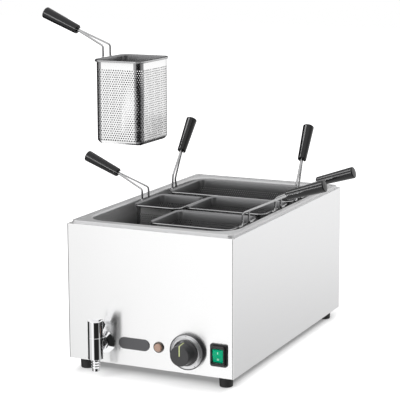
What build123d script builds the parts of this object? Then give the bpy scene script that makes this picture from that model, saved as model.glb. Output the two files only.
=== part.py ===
from build123d import *
from math import cos, radians, sin
import os

# Electric countertop pasta cooker: a steel casing on rubber feet, a deep-drawn water well with a
# heating element under a false bottom, a drain tap, a thermostat and five lift-out wire-rimmed baskets.
# X runs to the right across the control panel, Y to the back and Z up. The table top is Z zero.

# Driving dimensions in millimetres
body_width = 340.0
body_depth = 560.0
casing_height = 260.0
foot_height = 22.0
sheet = 1.0
seam = 0.3
fold_width = 12.0
fold_radius = 3.0
overrun = 5.0
panel_round_share = 0.9
touch_share = 0.01
turn_slack_share = 0.05

# Well and its flange
well_side_land = 20.0
well_end_land = 30.0
well_underspace = 66.0
well_corner = 45.0
well_cove = 12.0
flange_inset = 5.0
flange_corner = 10.0
flange_skirt = 6.0
flange_border = 7.0
flange_step = 1.2
mouth_roll = 4.0
skirt_fold = 2.0

# False bottom
floor_gap = 3.0
floor_plate = 1.5
floor_height = 39.7
floor_slot_length = 40.0
floor_slot_width = 12.0
floor_slot_rows = 7
floor_slot_columns = 4
floor_slot_span_x_share = 0.72
floor_slot_span_y_share = 0.82
rail_setback = 36.0
rail_end_gap = 60.0
rail_foot = 8.0

# Heating element and its fittings
element_radius = 4.25
element_side_gap = 70.5
element_lanes = 4
element_height = 22.0
element_front_gap = 50.0
element_rear_gap = 60.0
element_tail = 14.0
bushing_radius = 6.5
bushing_flange_radius = 9.5
bushing_flange = 2.0
bushing_length = 14.0
bushing_nut_across = 17.0
bushing_nut = 5.0
bracket_width = 12.0
bracket_rail_gap = 12.0
bracket_setback = 140.0

# Baskets: wire centre lines of the rims
wire_radius = 2.0
rim_radius = 1.9
weld_bite = 0.2
basket_sheet = 0.8
basket_corner = 15.0
basket_bottom_radius = 8.0
basket_lip = 1.2
rim_depth = 3.9
basket_seat_gap = 0.3
lift = 300.0
narrow_width = 100.0
narrow_depth = 121.0
wide_depth = 126.0
basket_side_gap = 14.0
basket_right_gap = 13.0
basket_middle_gap = 6.0
front_left_gap = 17.0
front_right_gap = 30.0
middle_left_gap = 32.0
middle_right_gap = 31.0
rear_front_gap = 13.0
rear_end_gap = 16.0

# Handles
leg_spacing = 28.0
leg_height = 24.0
foot_run = 19.0
narrow_rod = 66.0
narrow_rod_angle = 24.0
narrow_grip_angle = 23.5
wide_rod = 89.0
wide_rod_angle = 24.5
wide_grip_angle = 17.5
rear_leg_spacing = 20.0
rear_leg_height = 30.0
rear_leg_short = 21.0
rear_leg_draw = 8.5
rear_rod = 58.0
rear_lean = 54.5
rear_tilt = 3.0
rear_handle_setback = 27.0
rear_foot_short = 12.0
strand_gap = 0.7
strand_slack_share = 0.125
bend_radius = 6.0
neck_radius = 14.0
grip_length = 79.0
grip_neck_radius = 8.8
grip_end_radius = 11.3
grip_shoulder = 3.0
grip_rim = 2.2
grip_dome = 0.9
grip_insert = 36.0
grip_slot = 0.9
grip_notch = 3.1
grip_clearance = 0.1

# Feet and fasteners
foot_inset = 25.0
foot_top_radius = 13.5
foot_bottom_radius = 12.4
foot_edge = 2.0
foot_recess_radius = 7.0
foot_recess = 10.0
foot_screw_radius = 2.5
foot_screw_head_radius = 4.8
foot_screw_head = 3.2
foot_nut_across = 8.0
foot_nut = 4.0
screw_clearance = 0.1
plate_screw_radius = 1.9
plate_screw_head_radius = 3.6
plate_screw_head = 2.0
plate_screw_length = 5.0
plate_screw_end_gap = 100.0
plate_screw_side_gap = 100.0
vent_length = 60.0
vent_width = 6.0
vent_rows = 7
vent_pitch = 18.0
vent_setback = 98.0

# Controls: the gaps beside them in the row share out the free width of the panel
control_rise = 43.0
control_gap_shares = (55.2, 8.2, 8.8, 16.3, 11.5, 11.0)

# Badge and lamp
badge_length = 64.0
badge_height = 22.0
badge_thickness = 1.6
badge_edge = 0.5
lamp_bezel_radius = 10.2
lamp_bezel = 3.0
lamp_edge = 1.2
lamp_tube_radius = 6.3
lamp_tube = 26.0
lamp_seat = 1.2
lamp_lens_radius = 7.6
lamp_lens_clearance = 0.1
lamp_lens_land = 2.6
lamp_lens_crown = 2.6
lamp_tab_width = 4.8
lamp_tab = 0.8
lamp_tab_length = 7.0
lamp_tab_spacing = 6.0

# Dial, knob and thermostat
dial_radius = 33.5
dial_thickness = 11.0
dial_recess_radius = 18.0
dial_web = 3.0
dial_bore_radius = 6.0
dial_ledge_radius = 32.3
dial_ledge = 3.4
ledge_lip_share = 1 / 3
face_inner_radius = 19.0
face_flat_radius = 27.0
face_thickness = 0.9
face_drop = 2.8
knob_gap = 0.5
knob_base_radius = 24.3
knob_front_radius = 19.0
knob_waist_radius = 20.6
knob_depth = 26.0
knob_brim = 3.5
knob_edge = 1.6
knob_wall = 2.4
knob_hub_radius = 6.5
pointer_width = 2.0
pointer_depth = 0.8
pointer_proud = 0.15
spindle_radius = 3.0
spindle_flat = 1.5
spindle_reach = 22.0
running_clearance = 0.05
thermostat_plate_width = 42.0
thermostat_plate_height = 34.0
thermostat_plate = 1.5
thermostat_width = 36.0
thermostat_height = 32.0
thermostat_depth = 24.0
thermostat_collar_radius = 5.0
thermostat_collar = 5.0
thermostat_screw_spacing = 28.0
thermostat_screw_radius = 1.9
thermostat_screw_head_radius = 3.4
thermostat_screw_head = 1.8
thermostat_screw_length = 6.0
bulb_radius = 3.0
bulb_length = 96.0
bulb_side_gap = 88.0
bulb_end_gap = 140.0
bulb_gap = 0.2
clip_wall = 1.2
clip_place_share = 0.25
clip_width = 10.0
capillary_radius = 1.0
capillary_bend = 10.0
capillary_bend_shares = (1 / 3, 2 / 3)
capillary_outlet_share = 0.25

# Power switch
switch_width = 34.0
switch_height = 43.0
switch_corner = 4.5
switch_flange = 3.4
switch_edge = 1.3
collar_width = 28.0
collar_height = 36.5
collar_corner = 3.6
collar_front = 8.6
window_width = 21.4
window_height = 26.4
cover_width = 24.4
cover_height = 30.0
cover_corner = 3.0
cover_seat = 1.4
cover_front = 11.2
cover_wall = 0.9
cover_side_wall = 1.8
cover_edge = 1.6
rocker_width = 20.4
rocker_height = 24.0
rocker_middle = 6.4
rocker_end = 5.0
rocker_back = 4.0
rocker_swing = 7.0
pivot_depth = 2.0
pivot_radius = 1.5
pivot_reach = 0.9
switch_can_wall = 1.6
switch_can = 26.0
switch_cavity = 11.0
switch_can_gap = 0.1
switch_tab_width = 6.3
switch_tab = 0.8
switch_tab_length = 8.0
switch_tab_spacing = 12.0

# Drain and tap
drain_radius = 10.5
drain_bore = 8.0
drain_flange_radius = 16.0
drain_flange = 1.5
drain_drop = 12.0
drain_fall = 25.0
drain_setback = 65.0
drain_bend = 12.5
tap_standoff = 36.0
tap_radius = 14.2
tap_drop = 23.5
tap_rise = 17.4
lever_height = 31.6
tap_split_gap = 0.3
tap_edge = 0.8
tap_tail_radius = 9.5
tap_tail_length = 18.0
tap_hex_across = 23.0
tap_hex_front = 19.5
tap_hex_back = 10.5
tap_hole_clearance = 0.2
waterway_radius = 5.0
plug_radius = 8.0
plug_seat = 4.5
plug_seat_gap = 0.5
plug_cover = 9.0
lever_reach = 26.5
lever_tip_fall = 12.0
lever_root_rise = 6.6
lever_tip = 5.0
lever_root_width = 15.0
lever_edge = 1.5
cap_crown = 2.0
cap_edge = 1.5
nozzle_tip = 5.5
nozzle_radius = 8.3
nozzle_root_radius = 7.0
nozzle_bore = 4.6
nozzle_collar = 3.0
nozzle_barbs = 3
nozzle_barb = 5.0
barb_root_share = 1 / 3
nozzle_tip_radius = 6.6
nozzle_spigot_radius = 6.4
nozzle_spigot = 3.5
escutcheon_radius = 21.8
escutcheon_height = 9.0
escutcheon_brim = 2.2
brim_round_share = 1 / 3
escutcheon_shoulder_radius = 13.0
backnut_across = 27.0
backnut_thickness = 6.0

# Cable gland and terminal block
gland_side_gap = 60.0
gland_rise = 36.0
gland_bore = 4.5
gland_thread_radius = 7.8
gland_flange_across = 22.0
gland_flange = 5.0
gland_cap_radius = 10.0
gland_cap = 14.0
gland_cap_front_radius = 6.8
gland_tail = 9.0
gland_nut_across = 22.0
gland_nut = 5.0
block_width = 44.0
block_depth = 22.0
block_height = 18.0
block_setback = 62.0
block_poles = 3
block_pole_pitch = 13.0
block_hole_radius = 3.0
block_hole_depth = 8.0
block_wire_radius = 2.2

# Places worked out from the driving dimensions
half_width = body_width / 2
half_depth = body_depth / 2
casing_bottom = foot_height
casing_top = casing_bottom + casing_height
flange_top = casing_top + flange_skirt
flange_width = body_width - 2 * flange_inset
flange_length = body_depth - 2 * flange_inset
deck = flange_top - flange_step
well_floor = casing_bottom + well_underspace
well_width = body_width - 2 * well_side_land
well_length = body_depth - 2 * well_end_land
well_half_width = well_width / 2
well_half_length = well_length / 2
false_floor_top = well_floor + floor_height
basket_bottom = false_floor_top + basket_seat_gap
rim_level = deck - rim_depth
basket_height = rim_level + rim_radius + basket_sheet - basket_bottom
tap_axis_y = -half_depth - tap_standoff
drain_y = -half_depth + drain_setback
control_height = casing_bottom + control_rise
gland_height = casing_bottom + gland_rise
tap_height = well_floor - drain_fall
tap_bottom = tap_height - tap_drop
tap_split = tap_height + tap_rise
tap_top = tap_split + lever_height
plug_floor = tap_bottom + plug_seat
plug_bottom = plug_floor + plug_seat_gap
plug_top = tap_top - plug_cover
lever_tip_height = tap_top - lever_tip_fall
lever_root_height = tap_split + lever_root_rise
nozzle_bottom = tap_bottom - nozzle_collar - nozzle_barbs * nozzle_barb - nozzle_tip
inner_plate_top = casing_bottom + sheet
panel_half = half_width - sheet - seam
element_level = well_floor + element_height
rail_place = well_half_width - rail_setback
bracket_reach = rail_place - rail_foot - bracket_rail_gap
bulb_place_x = well_half_width - bulb_side_gap
bulb_place_y = -well_half_length + bulb_end_gap
gland_place = half_width - gland_side_gap
wide_width = well_width - narrow_width - basket_side_gap - basket_middle_gap - basket_right_gap
rear_width = well_width - 2 * basket_side_gap
narrow_centre_x = -well_half_width + basket_side_gap + narrow_width / 2
wide_centre_x = well_half_width - basket_right_gap - wide_width / 2
front_left_y = -well_half_length + front_left_gap + narrow_depth / 2
front_right_y = -well_half_length + front_right_gap + wide_depth / 2
middle_left_y = front_left_y + narrow_depth + middle_left_gap
middle_right_y = front_right_y + wide_depth + middle_right_gap
rear_basket_front = middle_right_y + wide_depth / 2 + rear_front_gap
rear_depth = well_half_length - rear_end_gap - rear_basket_front
rear_y = rear_basket_front + rear_depth / 2


def control_places():
    """Middles of the tap, badge, lamp, dial and switch along the panel."""
    widths = (2 * escutcheon_radius, badge_length, 2 * lamp_bezel_radius, 2 * dial_radius, switch_width)
    free = body_width - sum(widths)
    edge = -half_width
    places = []
    for width, gap in zip(widths, control_gap_shares):
        edge += free * gap / sum(control_gap_shares)
        places.append(edge + width / 2)
        edge += width
    return places


tap_place, badge_place, lamp_place, dial_place, switch_place = control_places()


def block(low, high):
    size = [top - bottom for bottom, top in zip(low, high)]
    middle = [(top + bottom) / 2 for bottom, top in zip(low, high)]
    return Pos(*middle) * Box(*size)


def prism(width, depth, radius, low, high, x=0, y=0):
    outline = RectangleRounded(width, depth, radius)
    return Pos(x, y, low) * extrude(outline, amount=high - low)


def rod(radius, low, high, x=0, y=0):
    return Pos(x, y, low) * extrude(Circle(radius), amount=high - low)


def hexagon(across, low, high):
    outline = RegularPolygon(across / 2, 6, major_radius=False)
    return Pos(0, 0, low) * extrude(outline, amount=high - low)


def turned(points):
    profile = make_face(Polyline(*points, close=True))
    return revolve(Plane.XZ * profile, axis=Axis.Z)


def cup(width, depth, radius, bottom_radius, low, high, x=0, y=0):
    body = prism(width, depth, radius, low, high, x, y)
    return fillet(body.faces().sort_by(Axis.Z)[0].edges(), bottom_radius)


def bent_tube(points, radii, radius):
    path = FilletPolyline(*points, radius=radii)
    start = Plane(origin=path @ 0, z_dir=path % 0)
    return sweep(start * Circle(radius), path=path)


def on_panel(x, z):
    return Plane(origin=(x, -half_depth, z), x_dir=(1, 0, 0), z_dir=(0, -1, 0))


def on_back(x, z):
    return Plane(origin=(x, half_depth, z), x_dir=(-1, 0, 0), z_dir=(0, 1, 0))


def edges_at(shape, axis, place):
    touch = sheet * touch_share
    return shape.edges().filter_by_position(axis, place - touch, place + touch)


# Casing: a U-shaped wrap, the front pan and the base plate
def u_outline(inset, front):
    depth = half_depth - inset - front
    outline = Pos(0, front + depth / 2) * Rectangle(body_width - 2 * inset, depth)
    rear_corners = outline.vertices().group_by(Axis.Y)[-1]
    return fillet(rear_corners, fold_radius - inset)


def casing_wrap():
    outer = Pos(0, 0, casing_bottom) * extrude(u_outline(0, -half_depth), amount=casing_height)
    inner_low = casing_bottom - overrun
    inner_height = casing_height + 2 * overrun
    inner = Pos(0, 0, inner_low) * extrude(u_outline(sheet, -half_depth - overrun), amount=inner_height)
    walls = outer - inner
    fold_front = -half_depth + fold_width + seam
    for level in (casing_top - sheet, inner_plate_top):
        fold = Pos(0, 0, level) * extrude(u_outline(0, fold_front), amount=sheet)
        well = block(
            (-half_width + fold_width, -half_depth - overrun, level - overrun),
            (half_width - fold_width, half_depth - fold_width, level + overrun),
        )
        walls += fold - well
    walls -= Pos(gland_place, half_depth, gland_height) * Rot(90, 0, 0) * Cylinder(
        gland_thread_radius + screw_clearance, 2 * overrun
    )
    for x, y in plate_screw_places():
        walls -= rod(plate_screw_radius, casing_bottom, inner_plate_top + overrun, x, y)
    return walls


def front_panel():
    face = block((-panel_half, -half_depth, casing_bottom), (panel_half, -half_depth + sheet, casing_top))
    face = fillet(face.faces().sort_by(Axis.Y)[0].edges(), sheet * panel_round_share)
    fold_back = -half_depth + fold_width
    top_fold = block(
        (-panel_half, -half_depth + sheet, casing_top - sheet), (panel_half, fold_back, casing_top)
    )
    bottom_fold = block(
        (-panel_half, -half_depth + sheet, inner_plate_top), (panel_half, fold_back, inner_plate_top + sheet)
    )
    panel = face + top_fold + bottom_fold
    for side in (-1, 1):
        edges = sorted((side * panel_half, side * (panel_half - sheet)))
        panel += block(
            (edges[0], -half_depth + sheet, inner_plate_top), (edges[1], fold_back, casing_top)
        )
    through = 2 * overrun
    panel -= on_panel(tap_place, tap_height) * Cylinder(tap_tail_radius + tap_hole_clearance, through)
    panel -= on_panel(lamp_place, control_height) * Cylinder(lamp_tube_radius + screw_clearance, through)
    collar_hole = thermostat_collar_radius + screw_clearance
    panel -= on_panel(dial_place, control_height) * Cylinder(collar_hole, through)
    for x, y in thermostat_screw_places():
        hole = thermostat_screw_radius + screw_clearance
        panel -= on_panel(dial_place, control_height) * Pos(x, y, 0) * Cylinder(hole, through)
    can_width = window_width + 2 * switch_can_wall + 2 * switch_can_gap
    can_height = window_height + 2 * switch_can_wall + 2 * switch_can_gap
    panel -= on_panel(switch_place, control_height) * Box(can_width, can_height, through)
    for x, y in plate_screw_places():
        panel -= rod(plate_screw_radius, casing_bottom, inner_plate_top + overrun, x, y)
    return panel


def plate_screw_places():
    side = half_width - fold_width / 2
    end = half_depth - fold_width / 2
    row = half_depth - plate_screw_end_gap
    column = half_width - plate_screw_side_gap
    places = [(x, y) for x in (-side, side) for y in (-row, 0, row)]
    places += [(x, y) for x in (-column, column) for y in (-end, end)]
    return places


def foot_places():
    x = half_width - foot_inset
    y = half_depth - foot_inset
    return [(-x, -y), (x, -y), (x, y), (-x, y)]


def base_plate():
    half_length = half_depth - sheet - seam
    plate = prism(2 * panel_half, 2 * half_length, fold_radius, casing_bottom, inner_plate_top)
    slot = extrude(SlotOverall(vent_length, vent_width), amount=2 * overrun)
    vent_place = half_width - vent_setback
    for side in (-1, 1):
        for row in range(vent_rows):
            y = (row - (vent_rows - 1) / 2) * vent_pitch
            plate -= Pos(side * vent_place, y, casing_bottom - overrun) * slot
    foot_hole = foot_screw_radius + screw_clearance
    for x, y in foot_places():
        plate -= rod(foot_hole, casing_bottom - overrun, inner_plate_top + overrun, x, y)
    for x, y in plate_screw_places():
        plate -= rod(plate_screw_radius, casing_bottom - overrun, inner_plate_top + overrun, x, y)
    return plate


def rubber_feet():
    bore = foot_screw_radius + screw_clearance
    foot = turned([
        (bore, foot_height), (foot_top_radius, foot_height), (foot_bottom_radius, 0),
        (foot_recess_radius, 0), (foot_recess_radius, foot_recess), (bore, foot_recess),
    ])
    ground = foot.faces().sort_by(Axis.Z)[0]
    outer_edge = ground.edges().sort_by(SortBy.LENGTH)[-1]
    foot = fillet(outer_edge, foot_edge)
    return [Pos(x, y, 0) * foot for x, y in foot_places()]


def foot_screws():
    head_low = foot_recess - foot_screw_head
    screw_top = inner_plate_top + foot_nut + sheet
    screw = rod(foot_screw_head_radius, head_low, foot_recess)
    screw += rod(foot_screw_radius, foot_recess, screw_top)
    return [Pos(x, y, 0) * screw for x, y in foot_places()]


def foot_nuts():
    bore = foot_screw_radius + screw_clearance
    nut = hexagon(foot_nut_across, inner_plate_top, inner_plate_top + foot_nut)
    nut -= rod(bore, inner_plate_top - overrun, inner_plate_top + foot_nut + overrun)
    return [Pos(x, y, 0) * nut for x, y in foot_places()]


def plate_screws():
    head = rod(plate_screw_head_radius, casing_bottom - plate_screw_head, casing_bottom)
    head = fillet(edges_at(head, Axis.Z, casing_bottom - plate_screw_head), plate_screw_head / 2)
    shank_radius = plate_screw_radius - screw_clearance
    screw = head + rod(shank_radius, casing_bottom, casing_bottom + plate_screw_length)
    return [Pos(x, y, 0) * screw for x, y in plate_screw_places()]


# Water well
def well_tank():
    slab = prism(flange_width, flange_length, flange_corner, casing_top, flange_top)
    slab = fillet(slab.faces().sort_by(Axis.Z)[-1].edges(), skirt_fold)
    pot_width = well_width + 2 * sheet
    pot_length = well_length + 2 * sheet
    pot = cup(pot_width, pot_length, well_corner + sheet, well_cove + sheet, well_floor - sheet, deck)
    cavity = cup(well_width, well_length, well_corner, well_cove, well_floor, flange_top + overrun)
    border_width = flange_width - 2 * flange_border
    border_length = flange_length - 2 * flange_border
    pressed = prism(border_width, border_length, flange_corner, deck, flange_top + overrun)
    pressing = slab + pot - pressed - cavity
    pressing = fillet(mouth_edges(pressing, deck), mouth_roll)
    under = prism(
        flange_width - 2 * sheet, flange_length - 2 * sheet, flange_corner - sheet,
        casing_top - overrun, flange_top - sheet,
    )
    under -= prism(
        border_width + 2 * sheet, border_length + 2 * sheet, flange_corner + sheet,
        deck - sheet, flange_top + overrun,
    )
    under -= prism(pot_width, pot_length, well_corner + sheet, well_floor, flange_top)
    under = fillet(mouth_edges(under, deck - sheet), mouth_roll - sheet)
    tank = pressing - under
    drain_hole = drain_radius + screw_clearance
    tank -= rod(drain_hole, well_floor - overrun, well_floor + overrun, tap_place, drain_y)
    for x in element_ends():
        hole = Cylinder(bushing_radius + screw_clearance, 2 * overrun)
        tank -= Pos(x, well_half_length, element_level) * Rot(90, 0, 0) * hole
    clip_radius = bulb_radius + bulb_gap + clip_wall
    for side in (-1, 1):
        y = bulb_place_y + side * bulb_length * clip_place_share
        clip = block(
            (bulb_place_x - clip_radius, y - clip_width / 2, bulb_level() - bulb_radius / 2),
            (bulb_place_x + clip_radius, y + clip_width / 2, well_floor - sheet / 2),
        )
        bulb_hole = Cylinder(bulb_radius + bulb_gap, bulb_length)
        tank += clip - Pos(bulb_place_x, y, bulb_level()) * Rot(90, 0, 0) * bulb_hole
    return tank


def mouth_edges(shape, level):
    reach_x = well_half_width + 2 * sheet
    reach_y = well_half_length + 2 * sheet
    flat = edges_at(shape, Axis.Z, level)
    return [edge for edge in flat if abs(edge.center().X) < reach_x and abs(edge.center().Y) < reach_y]


def bulb_level():
    return well_floor - sheet - bulb_gap - bulb_radius


def element_ends():
    end = well_half_width - element_side_gap
    return (-end, end)


def false_bottom():
    plate = prism(
        well_width - 2 * floor_gap, well_length - 2 * floor_gap, well_corner - floor_gap,
        false_floor_top - floor_plate, false_floor_top,
    )
    slot = extrude(SlotOverall(floor_slot_length, floor_slot_width), amount=2 * overrun)
    step_x = well_width * floor_slot_span_x_share / (floor_slot_columns - 1)
    step_y = well_length * floor_slot_span_y_share / (floor_slot_rows - 1)
    for column in range(floor_slot_columns):
        for row in range(floor_slot_rows):
            x = (column - (floor_slot_columns - 1) / 2) * step_x
            y = (row - (floor_slot_rows - 1) / 2) * step_y
            plate -= Pos(x, y, false_floor_top - overrun) * slot
    rail_end = well_half_length - rail_end_gap
    for side in (-1, 1):
        web = sorted((side * rail_place, side * (rail_place + floor_plate)))
        shoe = sorted((side * rail_place, side * (rail_place - rail_foot)))
        plate += block(
            (web[0], -rail_end, well_floor), (web[1], rail_end, false_floor_top - floor_plate)
        )
        plate += block(
            (shoe[0], -rail_end, well_floor), (shoe[1], rail_end, well_floor + floor_plate)
        )
    return plate


def heating_element():
    left, right = element_ends()
    element_lane = (right - left) / (element_lanes - 1)
    lanes = [left + lane * element_lane for lane in range(element_lanes)]
    front_turn = element_front_gap - well_half_length
    rear_turn = well_half_length - element_rear_gap
    tail = well_half_length + sheet + element_tail
    corners = [(lanes[0], tail)]
    for number, x in enumerate(lanes[:-1]):
        turn_y = front_turn if number % 2 == 0 else rear_turn
        corners += [(x, turn_y), (lanes[number + 1], turn_y)]
    corners += [(lanes[-1], tail)]
    points = [(x, y, element_level) for x, y in corners]
    turn = element_lane / 2 - element_radius * turn_slack_share
    return bent_tube(points, turn, element_radius)


def element_bushings():
    outer_end = -sheet - bushing_length
    bushing = turned([
        (element_radius + screw_clearance, bushing_flange), (bushing_flange_radius, bushing_flange),
        (bushing_flange_radius, 0), (bushing_radius, 0), (bushing_radius, outer_end + element_radius),
        (element_radius + screw_clearance, outer_end + element_radius),
    ])
    wall = Plane(origin=(0, well_half_length, element_level), x_dir=(1, 0, 0), z_dir=(0, -1, 0))
    return [Pos(x, 0, 0) * (wall * bushing) for x in element_ends()]


def element_nuts():
    nut = hexagon(bushing_nut_across, -sheet - bushing_nut, -sheet)
    nut -= Pos(0, 0, -sheet) * Cylinder(bushing_radius + screw_clearance, 2 * (bushing_nut + overrun))
    wall = Plane(origin=(0, well_half_length, element_level), x_dir=(1, 0, 0), z_dir=(0, -1, 0))
    return [Pos(x, 0, 0) * (wall * nut) for x in element_ends()]


def element_brackets():
    top = element_level - element_radius - screw_clearance
    arch = block((-bracket_reach, -bracket_width / 2, well_floor), (bracket_reach, bracket_width / 2, top))
    arch -= block(
        (-bracket_reach + floor_plate, -bracket_width, well_floor - overrun),
        (bracket_reach - floor_plate, bracket_width, top - floor_plate),
    )
    bracket_place = well_half_length - bracket_setback
    return [Pos(0, side * bracket_place, 0) * arch for side in (-1, 1)]


# Drain and tap
def drain_fitting():
    top = well_floor + drain_flange
    fitting = turned([
        (drain_bore, top), (drain_flange_radius, top), (drain_flange_radius, well_floor),
        (drain_radius, well_floor), (drain_radius, well_floor - drain_drop),
        (drain_bore, well_floor - drain_drop),
    ])
    return Pos(tap_place, drain_y, 0) * fitting


def drain_elbow():
    tail_end = -half_depth + sheet + tap_tail_length
    points = [
        (tap_place, drain_y, well_floor - drain_drop), (tap_place, drain_y, tap_height),
        (tap_place, tail_end, tap_height),
    ]
    bore_points = [
        (tap_place, drain_y, well_floor - drain_drop + overrun), (tap_place, drain_y, tap_height),
        (tap_place, tail_end - overrun, tap_height),
    ]
    return bent_tube(points, drain_bend, drain_radius) - bent_tube(bore_points, drain_bend, drain_bore)


def tap_frame():
    return Pos(tap_place, tap_axis_y, 0)


def tap_inlet(radius, front, back):
    length = front - back
    return on_panel(tap_place, tap_height) * Pos(0, 0, back) * extrude(Circle(radius), amount=length)


def tap_body():
    barrel = tap_frame() * rod(tap_radius, tap_bottom, tap_split)
    barrel = fillet(edges_at(barrel, Axis.Z, tap_bottom), tap_edge)
    tail_end = -sheet - tap_tail_length
    barrel += tap_inlet(tap_tail_radius, tap_standoff, tail_end)
    barrel += on_panel(tap_place, tap_height) * hexagon(tap_hex_across, tap_hex_back, tap_hex_front)
    barrel -= tap_frame() * rod(plug_radius + running_clearance, plug_floor, tap_split + overrun)
    spigot_hole = nozzle_spigot_radius + screw_clearance
    barrel -= tap_frame() * rod(spigot_hole, tap_bottom - overrun, plug_floor + overrun)
    barrel -= tap_inlet(waterway_radius, tap_standoff, tail_end - overrun)
    return barrel


def tap_plug():
    plug = tap_frame() * rod(plug_radius, plug_bottom, plug_top)
    plug -= tap_frame() * rod(waterway_radius, plug_bottom - overrun, tap_height)
    port = Rot(0, 90, 0) * extrude(Circle(waterway_radius), amount=tap_radius)
    port = Pos(tap_place, tap_axis_y, tap_height) * port
    return plug - port


def tap_lever():
    low = tap_split + tap_split_gap
    skirt = rod(tap_radius, low, tap_top)
    skirt = fillet(edges_at(skirt, Axis.Z, tap_top), cap_edge)
    side = make_face(Polyline(
        (0, tap_top + cap_crown), (tap_radius, tap_top), (lever_reach, lever_tip_height),
        (lever_reach - lever_tip / 2, lever_tip_height - lever_tip),
        (tap_radius - lever_tip / 2, lever_root_height),
        (0, lever_root_height), close=True,
    ))
    wing = extrude(Plane.YZ * side, amount=lever_root_width / 2, both=True)
    long_edges = wing.edges().filter_by(Axis.X, reverse=True)
    tip_edges = [edge for edge in long_edges if edge.center().Y > tap_radius / 2]
    wing = fillet(tip_edges, lever_edge)
    lever = skirt + wing - rod(plug_radius + running_clearance, low - overrun, plug_top + running_clearance)
    return tap_frame() * lever


def tap_nozzle():
    points = [
        (nozzle_bore, tap_bottom + nozzle_spigot), (nozzle_spigot_radius, tap_bottom + nozzle_spigot),
        (nozzle_spigot_radius, tap_bottom), (nozzle_radius, tap_bottom),
        (nozzle_radius, tap_bottom - nozzle_collar),
    ]
    for barb in range(nozzle_barbs):
        level = tap_bottom - nozzle_collar - barb * nozzle_barb
        ridge = level - nozzle_barb * barb_root_share
        points += [(nozzle_root_radius, level), (nozzle_root_radius, ridge), (nozzle_radius, ridge)]
    tip_top = tap_bottom - nozzle_collar - nozzle_barbs * nozzle_barb
    points += [(nozzle_tip_radius, tip_top), (nozzle_tip_radius, nozzle_bottom), (nozzle_bore, nozzle_bottom)]
    return tap_frame() * turned(points)


def tap_escutcheon():
    bore = tap_tail_radius + tap_hole_clearance
    ring = turned([
        (bore, 0), (escutcheon_radius, 0), (escutcheon_radius, escutcheon_brim),
        (escutcheon_shoulder_radius, escutcheon_height), (bore, escutcheon_height),
    ])
    ring = fillet(edges_at(ring, Axis.Z, escutcheon_brim), escutcheon_brim * brim_round_share)
    return on_panel(tap_place, tap_height) * ring


def tap_backnut():
    nut = hexagon(backnut_across, -sheet - backnut_thickness, -sheet)
    nut -= Cylinder(tap_tail_radius + screw_clearance, 2 * (sheet + backnut_thickness + overrun))
    return on_panel(tap_place, tap_height) * nut


# Badge and lamp
def badge_plate():
    plate = extrude(SlotOverall(badge_length, badge_height), amount=badge_thickness)
    plate = chamfer(plate.faces().sort_by(Axis.Z)[-1].edges(), badge_edge)
    return on_panel(badge_place, control_height) * plate


def lamp_housing():
    ring = rod(lamp_bezel_radius, 0, lamp_bezel)
    ring = fillet(edges_at(ring, Axis.Z, lamp_bezel), lamp_edge)
    housing = ring + rod(lamp_tube_radius, -lamp_tube, 0)
    housing -= rod(lamp_lens_radius + lamp_lens_clearance, lamp_seat, lamp_bezel + overrun)
    for side in (-1, 1):
        x = side * lamp_tab_spacing / 2
        housing += block(
            (x - lamp_tab / 2, -lamp_tab_width / 2, -lamp_tube - lamp_tab_length),
            (x + lamp_tab / 2, lamp_tab_width / 2, -lamp_tube),
        )
    return on_panel(lamp_place, control_height) * housing


def lamp_lens():
    crown = lamp_seat + lamp_lens_land + lamp_lens_crown
    lens = rod(lamp_lens_radius, lamp_seat, crown)
    lens = fillet(edges_at(lens, Axis.Z, crown), lamp_lens_crown)
    return on_panel(lamp_place, control_height) * lens


# Dial, knob and thermostat
def thermostat_screw_places():
    return [(side * thermostat_screw_spacing / 2, 0) for side in (-1, 1)]


def dial_base():
    ledge = dial_thickness - dial_ledge
    lip = ledge + dial_ledge * ledge_lip_share
    base = turned([
        (dial_bore_radius, 0), (dial_radius, 0), (dial_radius, lip),
        (dial_ledge_radius, lip), (dial_ledge_radius, ledge - face_drop / 2),
        (dial_recess_radius, ledge - face_drop / 2), (dial_recess_radius, dial_web),
        (dial_bore_radius, dial_web),
    ])
    for x, y in thermostat_screw_places():
        base -= Pos(x, y, 0) * Cylinder(thermostat_screw_radius + screw_clearance, 2 * overrun)
    return on_panel(dial_place, control_height) * base


def dial_face():
    high = dial_thickness
    low = high - face_drop
    seat = dial_thickness - dial_ledge - face_drop / 2
    rim = dial_ledge_radius - screw_clearance
    ring = turned([
        (face_inner_radius, high), (face_flat_radius, high), (rim, low), (rim, seat),
        (rim - face_thickness, seat), (rim - face_thickness, low - face_thickness / 2),
        (face_flat_radius, high - face_thickness),
        (face_inner_radius + face_thickness, high - face_thickness),
        (face_inner_radius + face_thickness, seat), (face_inner_radius, seat),
    ])
    return on_panel(dial_place, control_height) * ring


def knob_form(grow):
    low = dial_thickness + knob_gap
    high = low + knob_depth + grow
    form = turned([
        (0, low), (knob_base_radius + grow, low), (knob_base_radius + grow, low + knob_brim),
        (knob_waist_radius + grow, low + 2 * knob_brim), (knob_front_radius + grow, high), (0, high),
    ])
    return fillet(edges_at(form, Axis.Z, high), knob_edge)


def pointer_slab(width):
    high = dial_thickness + knob_gap + knob_depth + overrun
    return block((-width / 2, 0, dial_thickness), (width / 2, 2 * knob_base_radius, high))


def knob():
    low = dial_thickness + knob_gap
    form = knob_form(0)
    groove = pointer_slab(pointer_width + screw_clearance) - knob_form(-pointer_depth)
    form -= groove
    hollow = rod(knob_front_radius - knob_wall, low - overrun, low + knob_depth - 2 * knob_wall)
    hollow -= rod(knob_hub_radius, low - overrun, low + knob_depth)
    form -= hollow
    form -= spindle_form(running_clearance, low - overrun, spindle_end() + running_clearance)
    return on_panel(dial_place, control_height) * form


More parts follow.
